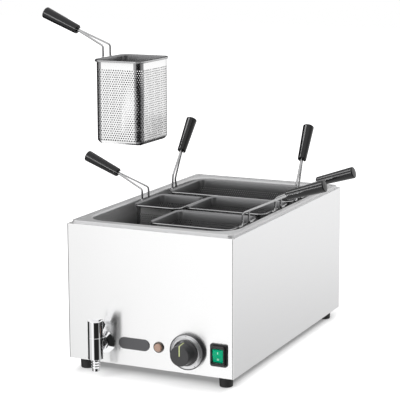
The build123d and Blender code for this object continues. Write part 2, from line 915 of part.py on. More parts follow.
def knob_pointer():
    skin = knob_form(pointer_proud) - knob_form(-pointer_depth + running_clearance)
    inlay = pointer_slab(pointer_width) & skin
    return on_panel(dial_place, control_height) * inlay


def spindle_end():
    return dial_thickness + knob_gap + spindle_reach


def spindle_form(grow, low, high):
    shaft = rod(spindle_radius + grow, low, high)
    flat_low = dial_thickness + knob_gap
    flat = block(
        (-2 * spindle_radius, spindle_flat + grow, flat_low),
        (2 * spindle_radius, 2 * spindle_radius, high + overrun),
    )
    return shaft - flat


def thermostat_spindle():
    low = -sheet - thermostat_depth / 2
    return on_panel(dial_place, control_height) * spindle_form(0, low, spindle_end())


def thermostat_body():
    plate_low = -sheet - thermostat_plate
    plate = block(
        (-thermostat_plate_width / 2, -thermostat_plate_height / 2, plate_low),
        (thermostat_plate_width / 2, thermostat_plate_height / 2, -sheet),
    )
    can = prism(thermostat_width, thermostat_height, fold_radius, plate_low - thermostat_depth, plate_low)
    collar = rod(thermostat_collar_radius, plate_low, -sheet + thermostat_collar)
    body = plate + can + collar
    body -= rod(spindle_radius + running_clearance, plate_low - thermostat_depth / 2, overrun)
    for x, y in thermostat_screw_places():
        body -= rod(thermostat_screw_radius, -thermostat_screw_length - overrun, overrun, x, y)
    return on_panel(dial_place, control_height) * body


def thermostat_screws():
    head = rod(thermostat_screw_head_radius, dial_web, dial_web + thermostat_screw_head)
    shank = rod(thermostat_screw_radius - screw_clearance, -thermostat_screw_length, dial_web)
    screw = head + shank
    plane = on_panel(dial_place, control_height)
    return [plane * Pos(x, y, 0) * screw for x, y in thermostat_screw_places()]


def thermostat_bulb():
    bulb = Cylinder(bulb_radius, bulb_length)
    bulb = fillet(bulb.edges(), bulb_radius / 2)
    return Pos(bulb_place_x, bulb_place_y, bulb_level()) * Rot(90, 0, 0) * bulb


def capillary_tube():
    start_y = -half_depth + sheet + thermostat_plate + thermostat_depth
    start_z = control_height - thermostat_height * capillary_outlet_share
    end_y = bulb_place_y - bulb_length / 2
    first_y, second_y = [start_y + (end_y - start_y) * share for share in capillary_bend_shares]
    points = [
        (dial_place, start_y, start_z), (dial_place, first_y, start_z),
        (bulb_place_x, second_y, bulb_level()), (bulb_place_x, end_y, bulb_level()),
    ]
    return bent_tube(points, capillary_bend, capillary_radius)


# Power switch
def switch_plane():
    return on_panel(switch_place, control_height)


def switch_frame():
    flange = prism(switch_width, switch_height, switch_corner, 0, switch_flange)
    flange = fillet(flange.faces().sort_by(Axis.Z)[-1].edges(), switch_edge)
    collar = prism(collar_width, collar_height, collar_corner, 0, collar_front)
    collar = fillet(collar.faces().sort_by(Axis.Z)[-1].edges(), switch_edge)
    frame = flange + collar
    frame -= block(
        (-window_width / 2, -window_height / 2, -overrun),
        (window_width / 2, window_height / 2, collar_front + overrun),
    )
    frame -= prism(cover_width, cover_height, cover_corner, collar_front - cover_seat, collar_front + overrun)
    return switch_plane() * frame


def switch_body():
    width = window_width + 2 * switch_can_wall
    height = window_height + 2 * switch_can_wall
    can = block((-width / 2, -height / 2, -switch_can), (width / 2, height / 2, 0))
    can -= block(
        (-window_width / 2, -window_height / 2, -switch_cavity),
        (window_width / 2, window_height / 2, overrun),
    )
    can -= Pos(0, 0, -pivot_depth) * Rot(0, 90, 0) * Cylinder(pivot_radius + running_clearance, 2 * width)
    for side in (-1, 1):
        y = side * switch_tab_spacing / 2
        can += block(
            (-switch_tab_width / 2, y - switch_tab / 2, -switch_can - switch_tab_length),
            (switch_tab_width / 2, y + switch_tab / 2, -switch_can),
        )
    return switch_plane() * can


def switch_rocker():
    half = rocker_height / 2
    side = make_face(Polyline(
        (-half, rocker_end), (0, rocker_middle), (half, rocker_end), (half - rocker_back / 2, -rocker_back),
        (0, -rocker_back - pivot_radius), (-half + rocker_back / 2, -rocker_back), close=True,
    ))
    side = Pos(0, pivot_depth) * side
    rocker = extrude(Plane.YZ * side, amount=rocker_width / 2, both=True)
    pivot_length = window_width + 2 * pivot_reach
    rocker += Rot(0, 90, 0) * Cylinder(pivot_radius, pivot_length)
    rocker = Rot(rocker_swing, 0, 0) * rocker
    return switch_plane() * Pos(0, 0, -pivot_depth) * rocker


def switch_cover():
    width = cover_width - 2 * screw_clearance
    height = cover_height - 2 * screw_clearance
    low = collar_front - cover_seat
    dome = prism(width, height, cover_corner - screw_clearance, low, cover_front)
    dome = fillet(dome.faces().sort_by(Axis.Z)[-1].edges(), cover_edge)
    hollow = prism(
        width - 2 * cover_side_wall, height - 2 * cover_side_wall, cover_corner - cover_wall,
        low - overrun, cover_front - cover_wall,
    )
    return switch_plane() * (dome - hollow)


# Cable entry
def cable_gland():
    gland = hexagon(gland_flange_across, 0, gland_flange)
    cap = turned([
        (0, gland_flange), (gland_cap_radius, gland_flange), (gland_cap_radius, gland_flange + gland_cap / 2),
        (gland_cap_front_radius, gland_flange + gland_cap), (0, gland_flange + gland_cap),
    ])
    gland += cap + rod(gland_thread_radius, -sheet - gland_tail, 0)
    gland -= rod(gland_bore, -sheet - gland_tail - overrun, gland_flange + gland_cap + overrun)
    return on_back(gland_place, gland_height) * gland


def gland_locknut():
    nut = hexagon(gland_nut_across, -sheet - gland_nut, -sheet)
    nut -= Cylinder(gland_thread_radius + screw_clearance, 2 * (sheet + gland_nut + overrun))
    return on_back(gland_place, gland_height) * nut


def terminal_block():
    y = half_depth - block_setback
    body = block(
        (gland_place - block_width / 2, y - block_depth / 2, inner_plate_top),
        (gland_place + block_width / 2, y + block_depth / 2, inner_plate_top + block_height),
    )
    top = inner_plate_top + block_height
    for pole in range(block_poles):
        x = gland_place + (pole - (block_poles - 1) / 2) * block_pole_pitch
        body -= rod(block_hole_radius, top - block_hole_depth, top + overrun, x, y)
        wire_hole = Cylinder(block_wire_radius, 2 * block_depth)
        body -= Pos(x, y, top - block_hole_depth) * Rot(90, 0, 0) * wire_hole
    return body


# Baskets
def rounded_ring_path(width, depth, radius):
    return RectangleRounded(width, depth, radius).wire()


def basket_shell(width, depth, x, y, raised):
    bottom = basket_bottom + raised
    top = bottom + basket_height
    wall_inset = rim_radius - weld_bite
    outer_width = width - 2 * wall_inset
    outer_depth = depth - 2 * wall_inset
    corner = basket_corner - wall_inset
    outer = cup(outer_width, outer_depth, corner, basket_bottom_radius, bottom, top, x, y)
    lip = prism(
        width + 2 * basket_lip, depth + 2 * basket_lip, basket_corner + basket_lip,
        top - basket_sheet, top, x, y,
    )
    inner = cup(
        outer_width - 2 * basket_sheet, outer_depth - 2 * basket_sheet, corner - basket_sheet,
        basket_bottom_radius - basket_sheet, bottom + basket_sheet, top + overrun, x, y,
    )
    return outer + lip - inner


def basket_rim(width, depth, x, y, raised):
    path = rounded_ring_path(width, depth, basket_corner)
    start = Plane(origin=path @ 0, z_dir=path % 0)
    ring = sweep(start * Circle(rim_radius), path=path)
    return Pos(x, y, rim_level + raised) * ring


def grip_form():
    shoulder = grip_shoulder
    body = turned([
        (0, 0), (grip_neck_radius, 0), (grip_end_radius, grip_length - grip_dome), (0, grip_length),
    ])
    body = fillet(edges_at(body, Axis.Z, 0), shoulder)
    body = fillet(edges_at(body, Axis.Z, grip_length - grip_dome), grip_rim)
    reach = 2 * grip_end_radius
    body -= block((-reach, -grip_slot / 2, -overrun), (reach, grip_slot / 2, grip_insert + wire_radius))
    body -= Rot(0, 90, 0) * Cylinder(grip_notch, 2 * reach)
    channel_half = strand_half() + wire_radius + grip_clearance
    channel_width = 2 * (wire_radius + grip_clearance)
    channel = prism(2 * channel_half, channel_width, channel_width / 2 - grip_clearance / 2, -overrun,
                    grip_insert + wire_radius + grip_clearance)
    return body - channel


def strand_half():
    return wire_radius + strand_gap / 2


def handle_plane(neck, across, along):
    return Plane(origin=neck, x_dir=across, z_dir=along)


def side_handle(side, edge_x, y, raised, rod_length, rod_angle, grip_angle):
    """Wire and grip of a handle that reaches out over the side of the well."""
    x = side * (edge_x + rim_radius + wire_radius - weld_bite)
    level = rim_level + raised
    bend_z = level + leg_height
    neck_x = x + side * rod_length * cos(radians(rod_angle))
    neck_z = bend_z + rod_length * sin(radians(rod_angle))
    along = (side * cos(radians(grip_angle)), 0, sin(radians(grip_angle)))
    tip_x = neck_x + along[0] * grip_insert
    tip_z = neck_z + along[2] * grip_insert
    half = leg_spacing / 2
    near = strand_half()
    strand = [
        (x, half + foot_run, level), (x, half, level), (x, half, bend_z),
        (neck_x, near, neck_z), (tip_x, near, tip_z),
    ]
    back = [(px, -py, pz) for px, py, pz in reversed(strand)]
    points = [(px, y + py, pz) for px, py, pz in strand + back]
    turn = near - strand_gap * strand_slack_share
    radii = [bend_radius, bend_radius, neck_radius, turn, turn, neck_radius, bend_radius, bend_radius]
    wire = bent_tube(points, radii, wire_radius)
    grip = handle_plane((neck_x, y, neck_z), (0, 1, 0), along) * grip_form()
    return wire, grip


def rear_handle(side):
    """Wire and grip of a handle that stands up along the side of the rear basket."""
    x = side * (rear_width / 2 + rim_radius + wire_radius - weld_bite)
    base_y = rear_y - rear_depth / 2 + rear_handle_setback
    along = (0, cos(radians(rear_lean)), sin(radians(rear_lean)))
    across = (0, -sin(radians(rear_lean)), cos(radians(rear_lean)))
    top = (base_y, rim_level + rear_leg_height)
    near = strand_half()
    near_y, near_z = near * across[1], near * across[2]
    neck_y = top[0] + rear_rod * along[1] - near_y
    neck_z = top[1] + rear_rod * along[2] - near_z
    tip_y, tip_z = neck_y + grip_insert * along[1], neck_z + grip_insert * along[2]
    rear_leg_y = base_y + rear_leg_spacing
    front = [
        (base_y - rear_foot_short, rim_level), (base_y, rim_level), top,
        (tip_y + near_y, tip_z + near_z),
    ]
    back = [
        (tip_y - near_y, tip_z - near_z), (neck_y - near_y, neck_z - near_z),
        (rear_leg_y - rear_leg_draw, rim_level + rear_leg_short),
        (rear_leg_y, rim_level), (rear_leg_y + foot_run, rim_level),
    ]
    turn = near - strand_gap * strand_slack_share
    points = [(x, py, pz) for py, pz in front + back]
    radii = [bend_radius, 2 * bend_radius, turn, turn, neck_radius, 2 * bend_radius, bend_radius]
    wire = bent_tube(points, radii, wire_radius)
    grip = handle_plane((x, neck_y, neck_z), across, along) * grip_form()
    tilt = Pos(x, 0, rim_level) * Rot(0, -side * rear_tilt, 0) * Pos(-x, 0, -rim_level)
    return tilt * wire, tilt * grip


def narrow_basket(name, y, raised):
    wire, grip = side_handle(
        -1, narrow_width / 2 - narrow_centre_x, y, raised, narrow_rod, narrow_rod_angle, narrow_grip_angle
    )
    size = (narrow_width, narrow_depth, narrow_centre_x, y, raised)
    return {
        name + "_basket_shell": basket_shell(*size),
        name + "_basket_rim": basket_rim(*size),
        name + "_handle_wire": wire,
        name + "_handle_grip": grip,
    }


def wide_basket(name, y, raised):
    wire, grip = side_handle(
        1, wide_centre_x + wide_width / 2, y, raised, wide_rod, wide_rod_angle, wide_grip_angle
    )
    size = (wide_width, wide_depth, wide_centre_x, y, raised)
    return {
        name + "_basket_shell": basket_shell(*size),
        name + "_basket_rim": basket_rim(*size),
        name + "_handle_wire": wire,
        name + "_handle_grip": grip,
    }


def rear_basket():
    size = (rear_width, rear_depth, 0, rear_y, 0)
    handles = [rear_handle(side) for side in (-1, 1)]
    return {
        "rear_basket_shell": basket_shell(*size),
        "rear_basket_rim": basket_rim(*size),
        "rear_handle_wires": [wire for wire, grip in handles],
        "rear_handle_grips": [grip for wire, grip in handles],
    }


pieces = {
    "casing_wrap": casing_wrap(),
    "front_panel": front_panel(),
    "base_plate": base_plate(),
    "rubber_feet": rubber_feet(),
    "foot_screws": foot_screws(),
    "foot_nuts": foot_nuts(),
    "base_plate_screws": plate_screws(),
    "well_tank": well_tank(),
    "false_bottom": false_bottom(),
    "heating_element": heating_element(),
    "element_bushings": element_bushings(),
    "element_nuts": element_nuts(),
    "element_brackets": element_brackets(),
    "drain_fitting": drain_fitting(),
    "drain_elbow": drain_elbow(),
    "tap_escutcheon": tap_escutcheon(),
    "tap_body": tap_body(),
    "tap_backnut": tap_backnut(),
    "tap_nozzle": tap_nozzle(),
    "tap_plug": tap_plug(),
    "tap_lever": tap_lever(),
    "badge_plate": badge_plate(),
    "lamp_housing": lamp_housing(),
    "lamp_lens": lamp_lens(),
    "dial_base": dial_base(),
    "dial_face": dial_face(),
    "thermostat_body": thermostat_body(),
    "thermostat_screws": thermostat_screws(),
    "thermostat_spindle": thermostat_spindle(),
    "thermostat_bulb": thermostat_bulb(),
    "capillary_tube": capillary_tube(),
    "control_knob": knob(),
    "knob_pointer": knob_pointer(),
    "switch_frame": switch_frame(),
    "switch_body": switch_body(),
    "switch_rocker": switch_rocker(),
    "switch_cover": switch_cover(),
    "cable_gland": cable_gland(),
    "gland_locknut": gland_locknut(),
    "terminal_block": terminal_block(),
}
pieces.update(narrow_basket("front_left", front_left_y, lift))
pieces.update(wide_basket("front_right", front_right_y, 0))
pieces.update(narrow_basket("middle_left", middle_left_y, 0))
pieces.update(wide_basket("middle_right", middle_right_y, 0))
pieces.update(rear_basket())

os.makedirs("parts", exist_ok=True)
for name, shape in pieces.items():
    solids = []
    for item in shape if isinstance(shape, list) else [shape]:
        solids += item.solids()
    whole = solids[0] if len(solids) == 1 else Compound(children=solids)
    export_step(whole, os.path.join("parts", name + ".step"))
    print(name, len(solids), round(sum(solid.volume for solid in solids), 1))
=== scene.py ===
from math import atan2, cos, pi, radians, sin

import bmesh
import bpy
from mathutils import Matrix, Vector


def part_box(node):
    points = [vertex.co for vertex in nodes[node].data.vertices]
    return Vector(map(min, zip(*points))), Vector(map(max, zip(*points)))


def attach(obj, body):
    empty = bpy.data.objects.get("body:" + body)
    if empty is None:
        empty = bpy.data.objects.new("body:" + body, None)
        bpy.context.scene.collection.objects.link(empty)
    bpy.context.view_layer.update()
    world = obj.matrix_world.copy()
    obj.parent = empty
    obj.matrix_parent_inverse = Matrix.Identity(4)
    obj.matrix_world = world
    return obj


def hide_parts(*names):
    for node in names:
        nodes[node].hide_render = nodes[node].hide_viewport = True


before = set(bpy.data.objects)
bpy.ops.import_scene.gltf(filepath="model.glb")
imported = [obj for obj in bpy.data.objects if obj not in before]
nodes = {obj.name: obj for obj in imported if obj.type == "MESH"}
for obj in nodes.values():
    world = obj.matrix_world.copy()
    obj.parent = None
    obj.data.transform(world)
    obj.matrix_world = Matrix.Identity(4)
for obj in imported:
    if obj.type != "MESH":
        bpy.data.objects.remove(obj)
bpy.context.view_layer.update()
sceneRoot = bpy.context.scene
print("frame loaded:", len(nodes), "nodes")


# Shader graphs: a Value is a socket that plain arithmetic works on
class Value:
    def __init__(self, graph, socket):
        self.graph = graph
        self.socket = socket

    def maths(self, operation, first, second):
        return self.graph.node("ShaderNodeMath", {"operation": operation}, {0: first, 1: second})

    def __add__(self, other):
        return self.maths("ADD", self, other)

    def __radd__(self, other):
        return self.maths("ADD", other, self)

    def __sub__(self, other):
        return self.maths("SUBTRACT", self, other)

    def __rsub__(self, other):
        return self.maths("SUBTRACT", other, self)

    def __mul__(self, other):
        return self.maths("MULTIPLY", self, other)

    def __rmul__(self, other):
        return self.maths("MULTIPLY", other, self)

    def __truediv__(self, other):
        return self.maths("DIVIDE", self, other)

    def __pow__(self, other):
        return self.maths("POWER", self, other)

    def __gt__(self, other):
        return self.maths("GREATER_THAN", self, other)

    def __abs__(self):
        return self.maths("ABSOLUTE", self, 0.0)

    def atLeast(self, least):
        return self.maths("MAXIMUM", self, least)

    def atMost(self, most):
        return self.maths("MINIMUM", self, most)

    def clamped(self):
        return self.atMost(1.0).atLeast(0.0)


class Graph:
    def __init__(self, owner):
        owner.use_nodes = True
        self.owner = owner
        self.tree = owner.node_tree
        self.tree.nodes.clear()

    def node(self, kind, settings=None, sockets=None, output=0):
        made = self.tree.nodes.new(kind)
        for key, value in (settings or {}).items():
            if key == "stops":
                elements = made.color_ramp.elements
                while len(elements) < len(value):
                    elements.new(0.5)
                for element, (place, shade) in zip(elements, value):
                    element.position = place
                    element.color = (shade, shade, shade, 1)
            else:
                setattr(made, key, value)
        for key, value in (sockets or {}).items():
            if isinstance(value, Value):
                self.tree.links.new(value.socket, made.inputs[key])
            else:
                made.inputs[key].default_value = value
        return Value(self, made.outputs[output]) if len(made.outputs) else made

    def place(self, scale=(1, 1, 1)):
        spot = self.node("ShaderNodeTexCoord", output="Object")
        return self.node("ShaderNodeMapping", {}, {"Vector": spot, "Scale": scale})

    def along(self, axis):
        spot = self.node("ShaderNodeTexCoord", output="Object")
        return self.node("ShaderNodeSeparateXYZ", {}, {0: spot}, axis)

    def noise(self, vector, scale, detail=2.0, roughness=0.5):
        sockets = {"Vector": vector, "Scale": scale, "Detail": detail, "Roughness": roughness}
        return self.node("ShaderNodeTexNoise", {}, sockets)

    def ramp(self, value, stops):
        return self.node("ShaderNodeValToRGB", {"stops": stops}, {"Fac": value})

    def mixColour(self, factor, first, second):
        # the Mix node has its colours at inputs 6 and 7 and at output 2
        sockets = {0: factor, 6: tint(first), 7: tint(second)}
        return self.node("ShaderNodeMix", {"data_type": "RGBA"}, sockets, 2)

    def mixShader(self, factor, first, second):
        return self.node("ShaderNodeMixShader", {}, {0: factor, 1: first, 2: second})

    def bump(self, height, strength, distance):
        sockets = {"Height": height, "Strength": strength, "Distance": distance}
        return self.node("ShaderNodeBump", {}, sockets)

    def principled(self, sockets):
        return self.finish(self.node("ShaderNodeBsdfPrincipled", {}, sockets))

    def finish(self, shader, end="ShaderNodeOutputMaterial"):
        self.node(end, {}, {"Surface": shader})
        return self.owner


def tint(colour):
    return colour if isinstance(colour, Value) else (*colour, 1)


def shaded(colour, share):
    return [min(1.0, part * share) for part in colour]


def newGraph(name):
    return Graph(bpy.data.materials.new(name))


# Metals
metalForm = {
    "lineDetail": 3.0, "lineRoughness": 0.65, "lineDeep": 0.0001, "cloudScale": 9.0, "cloudShare": 0.05,
    "hazeScale": 160.0, "hazeDetail": 3.0, "hazeShade": 0.96, "wipeAcross": (30, 30, 260),
    "grainScale": 900.0, "grainStrength": 0.12, "grainDeep": 0.0003,
    "patchScale": 60.0, "patchDetail": 3.0, "patchShade": 0.82, "patchShare": 0.15,
}


def brushedSteel(name, colour, rough, across, stretch=0.0, turned=0.0, vary=0.03, sheen=1.0,
                 paintedDepthShade=None, paintedEdgeShade=None):
    # across holds the scale of the fine lines along X, Y and Z: a small one runs along the brushing
    # the depth shade holds the level below which painted shade darkens the steel, over what depth and how
    # far; it stands in for the light that does not reach down into the well
    # the edge shade holds the distance along X past which the sheet turns in, and how dark painted shade
    # makes it there, a dark line along the fold
    form = metalForm
    graph = newGraph(name)
    lines = graph.noise(graph.place(across), 1.0, form["lineDetail"], form["lineRoughness"])
    cloud = graph.noise(graph.place(), form["cloudScale"])
    shade = graph.mixColour(lines, shaded(colour, 1 - vary), shaded(colour, 1 + vary))
    # painted shade: below the level the steel darkens with depth
    if paintedDepthShade:
        level, depth, least = paintedDepthShade
        down = ((level - graph.along(2)) / depth).clamped()
        shade = graph.mixColour(down, shade, shaded(colour, least))
    # painted shade: a dark line where the sheet turns in at its ends
    if paintedEdgeShade:
        reach, least = paintedEdgeShade
        shade = graph.mixColour(abs(graph.along(0)) > reach, shade, shaded(colour, least))
    return graph.principled({
        "Base Color": shade,
        "Metallic": sheen,
        "Roughness": rough + (lines - 0.5) * vary + (cloud - 0.5) * form["cloudShare"],
        "Anisotropic": stretch,
        "Anisotropic Rotation": turned,
        "Normal": graph.bump(lines, vary, form["lineDeep"]),
    })


def polishedSteel(name, colour, rough, mark=0.05, sheen=1.0):
    form = metalForm
    graph = newGraph(name)
    haze = graph.noise(graph.place(), form["hazeScale"], form["hazeDetail"])
    wipe = graph.noise(graph.place(form["wipeAcross"]), 1.0)
    return graph.principled({
        "Base Color": graph.mixColour(haze, shaded(colour, form["hazeShade"]), colour),
        "Metallic": sheen,
        "Roughness": rough + (haze - 0.5) * mark + (wipe - 0.5) * mark,
    })


def castMetal(name, colour, rough):
    form = metalForm
    graph = newGraph(name)
    grain = graph.noise(graph.place(), form["grainScale"])
    patch = graph.noise(graph.place(), form["patchScale"], form["patchDetail"])
    return graph.principled({
        "Base Color": graph.mixColour(patch, shaded(colour, form["patchShade"]), colour),
        "Metallic": 1.0,
        "Roughness": rough + (patch - 0.5) * form["patchShare"],
        "Normal": graph.bump(grain, form["grainStrength"], form["grainDeep"]),
    })


# Plastics and rubber
plasticForm = {
    "patchScale": 40.0, "patchDetail": 3.0, "patchDark": 0.85, "patchLight": 1.08, "patchShare": 0.1,
    "grainDeep": 0.0002, "coatRough": 0.08,
    "clearScale": 220.0, "clearDark": 0.9, "clearShare": 0.04, "clearCoatRough": 0.03, "clearMirror": 0.5,
    "inlayScale": 700.0, "inlayDark": 0.92, "inlayRough": 0.42, "inlayShare": 0.1,
}


def mouldedPlastic(name, colour, rough, grainScale=1400.0, grainStrength=0.1, coat=0.0, mirror=0.5):
    form = plasticForm
    graph = newGraph(name)
    grain = graph.noise(graph.place(), grainScale)
    patch = graph.noise(graph.place(), form["patchScale"], form["patchDetail"])
    dark, light = shaded(colour, form["patchDark"]), shaded(colour, form["patchLight"])
    return graph.principled({
        "Base Color": graph.mixColour(patch, dark, light),
        "Roughness": rough + (patch - 0.5) * form["patchShare"],
        "Coat Weight": coat,
        "Coat Roughness": form["coatRough"],
        "Specular IOR Level": mirror,
        "Normal": graph.bump(grain, grainStrength, form["grainDeep"]),
    })


def clearPlastic(name, colour, rough, alpha, glow=0.0, gloss=1.0):
    form = plasticForm
    graph = newGraph(name)
    cloud = graph.noise(graph.place(), form["clearScale"])
    return graph.principled({
        "Base Color": graph.mixColour(cloud, shaded(colour, form["clearDark"]), colour),
        "Roughness": rough + (cloud - 0.5) * form["clearShare"],
        "Alpha": alpha,
        "Coat Weight": gloss,
        "Coat Roughness": form["clearCoatRough"],
        "Specular IOR Level": form["clearMirror"] * gloss,
        "Emission Color": (*colour, 1),
        "Emission Strength": glow,
    })


def inlaidPointer(name, line, ground, reach):
    # the line is filled in on the knob's front and slope only, and the brim behind them stays plain
    form = plasticForm
    graph = newGraph(name)
    patch = graph.noise(graph.place(), form["inlayScale"])
    filled = graph.mixColour(patch, shaded(line, form["inlayDark"]), line)
    return graph.principled({
        "Base Color": graph.mixColour(graph.along(1) > reach, filled, ground),
        "Roughness": form["inlayRough"] + (patch - 0.5) * form["inlayShare"],
    })


materials = {
    # the front panel carries painted shade along the edges where it turns in
    "panel": brushedSteel("panelSteel", (0.99, 0.99, 0.99), 0.26, (14, 14, 1500), 0.7, 0.25, 0.02,
                          paintedEdgeShade=(0.1685, 0.3)),
    "casing": brushedSteel("casingSteel", (0.86, 0.86, 0.865), 0.30, (14, 14, 1500), 0.6, 0.25, 0.02),
    # the well's steel carries painted shade that darkens it with depth
    "well": brushedSteel("wellSteel", (0.70, 0.70, 0.705), 0.36, (40, 40, 500), 0.3, 0.25, 0.06, 0.6,
                         paintedDepthShade=(0.262, 0.045, 0.09)),
    "basket": polishedSteel("basketSteel", (0.99, 0.99, 0.99), 0.20, 0.05, 0.92),
    # painted shade: the basket's inner sides are a darker copy of its steel
    "basketInsidePaintedShade": polishedSteel("basketInsideSteel", (0.27, 0.27, 0.275), 0.34, 0.05, 0.75),
    # painted shade and painted dark reflection on the basket's bends and rounded bottom edges
    "basketBendPaintedShade": polishedSteel("basketBendSteel", (0.34, 0.34, 0.345), 0.26, 0.08),
    # painted shade: the walls of the holes and the sheet's edges are near black steel
    "holeEdgePaintedShade": polishedSteel("holeEdgeSteel", (0.03, 0.03, 0.032), 0.45, 0.05, 0.6),
    "wire": polishedSteel("wireSteel", (0.52, 0.52, 0.525), 0.15, 0.02),
    "chrome": polishedSteel("tapChrome", (0.90, 0.90, 0.91), 0.04, 0.02),
    "brass": castMetal("turnedBrass", (0.72, 0.56, 0.30), 0.30),
    "copper": castMetal("drawnCopper", (0.74, 0.42, 0.28), 0.30),
    "zinc": castMetal("zincSteel", (0.68, 0.69, 0.70), 0.34),
    "sheath": castMetal("elementSheath", (0.30, 0.29, 0.30), 0.42),
    "rubber": mouldedPlastic("feetRubber", (0.018, 0.018, 0.018), 0.62, 2200.0, 0.25),
    "grip": mouldedPlastic("gripPhenolic", (0.008, 0.008, 0.009), 0.17, 1800.0, 0.02, mirror=0.4),
    "badge": brushedSteel("badgeMetal", (0.135, 0.135, 0.14), 0.32, (900, 14, 900)),
    "lampBezel": castMetal("lampBezelMetal", (0.16, 0.135, 0.12), 0.22),
    "lampLens": clearPlastic("lampLensAmber", (0.50, 0.32, 0.24), 0.18, 0.94, glow=0.06),
    "dialRim": mouldedPlastic("dialBlack", (0.030, 0.030, 0.033), 0.30, 1500.0, 0.06, coat=0.2),
    "dialFace": brushedSteel("dialSilver", (0.80, 0.80, 0.81), 0.40, (300, 300, 300), vary=0.06),
    "knob": mouldedPlastic("knobGrey", (0.045, 0.045, 0.047), 0.34, 1600.0, 0.12),
    "pointer": inlaidPointer("pointerLime", (0.72, 0.80, 0.36), (0.045, 0.045, 0.047), -0.2985),
    "switch": mouldedPlastic("switchBlack", (0.014, 0.014, 0.015), 0.30, 1500.0, 0.08, coat=0.2),
    "rocker": clearPlastic("rockerGreen", (0.0, 0.33, 0.16), 0.16, 1.0, glow=0.35, gloss=0.12),
    "cover": clearPlastic("coverClear", (0.10, 0.42, 0.28), 0.05, 0.012),
    "ceramic": mouldedPlastic("ceramicWhite", (0.80, 0.78, 0.74), 0.35, 800.0, 0.1, coat=0.3),
    "ink": mouldedPlastic("dialInk", (0.05, 0.05, 0.055), 0.5),
    "mark": clearPlastic("switchMark", (0.62, 0.92, 0.78), 0.4, 1.0, glow=0.2),
}
print("materials made:", len(materials))


def dress(name, material):
    piece = nodes[name]
    piece.data.materials.clear()
    piece.data.materials.append(materials[material])


finishes = {
    "casing_wrap": "casing", "front_panel": "panel", "base_plate": "casing", "well_tank": "well",
    "false_bottom": "well", "element_brackets": "well", "drain_elbow": "well",
    "heating_element": "sheath", "element_bushings": "brass", "element_nuts": "brass",
    "drain_fitting": "brass", "tap_backnut": "brass", "tap_plug": "brass",
    "tap_escutcheon": "chrome", "tap_body": "chrome", "tap_nozzle": "chrome", "tap_lever": "chrome",
    "rubber_feet": "rubber", "foot_screws": "zinc", "foot_nuts": "zinc", "base_plate_screws": "zinc",
    "thermostat_body": "zinc", "thermostat_screws": "zinc", "thermostat_spindle": "zinc",
    "thermostat_bulb": "copper", "capillary_tube": "copper",
    "badge_plate": "badge", "lamp_housing": "lampBezel", "lamp_lens": "lampLens",
    "dial_base": "dialRim", "dial_face": "dialFace", "control_knob": "knob", "knob_pointer": "pointer",
    "switch_frame": "switch", "switch_body": "switch", "switch_rocker": "rocker", "switch_cover": "cover",
    "cable_gland": "switch", "gland_locknut": "switch", "terminal_block": "ceramic",
}
for name in nodes:
    if name in finishes:
        dress(name, finishes[name])
    elif "grip" in name:
        dress(name, "grip")
    elif "shell" in name:
        dress(name, "basket")
    else:
        dress(name, "wire")


# Mesh helpers
def meshObject(name, bm, material, smoothAngle=35):
    mesh = bpy.data.meshes.new(name)
    bm.to_mesh(mesh)
    bm.free()
    piece = bpy.data.objects.new(name, mesh)
    sceneRoot.collection.objects.link(piece)
    mesh.materials.append(materials[material])
    smooth(piece, smoothAngle)
    return piece


def smooth(piece, angle):
    piece.data.shade_smooth()
    piece.data.set_sharp_from_angle(angle=radians(angle))


def applied(piece):
    # the modifiers' result takes the place of the plain mesh
    graph = bpy.context.evaluated_depsgraph_get()
    mesh = bpy.data.meshes.new_from_object(piece.evaluated_get(graph))
    piece.modifiers.clear()
    piece.data = mesh


def meetingEdges(verts):
    return {edge for vert in verts for edge in vert.link_edges}


# Perforated baskets
sheetForm = {
    "pitch": 0.0048, "hole": 0.0015, "holeSides": 8, "tileSides": 6, "thick": 0.0008, "standOff": 0.0006,
    "corner": 0.0133, "plainBand": 0.0170, "lipReach": 0.0029, "lipDeep": 0.0036,
    "lipRings": ((0.0, 0.0034), (0.0005, 0.0020), (0.0016, 0.0010), (0.0027, 0.0006)),
    "bottomRound": 0.008, "bottomRings": (0.74, 0.87, 1.0), "arcShare": 0.62, "floorMargin": 0.0012,
    "edgeDark": 0.0032, "flatNormal": -0.9, "weldPart": 40, "openShare": 0.35, "smoothAngle": 55,
    "bendSlot": 2, "lipSlot": 4, "insideStep": 1, "rimStep": 6, "mostTriangles": 200000,
}
# each outer finish has its inner one after it, and the sheet's edges and holes come last; the inner sides
# are a darker copy of the steel as painted shade, the bends and bottom edges a darker copy as painted
# shade and painted dark reflection, and the hole walls and edges near black as painted shade
sheetFinishes = ("basket", "basketInsidePaintedShade", "basketBendPaintedShade", "basketInsidePaintedShade", "wire", "basketInsidePaintedShade",
                 "holeEdgePaintedShade", "holeEdgePaintedShade", "holeEdgePaintedShade")


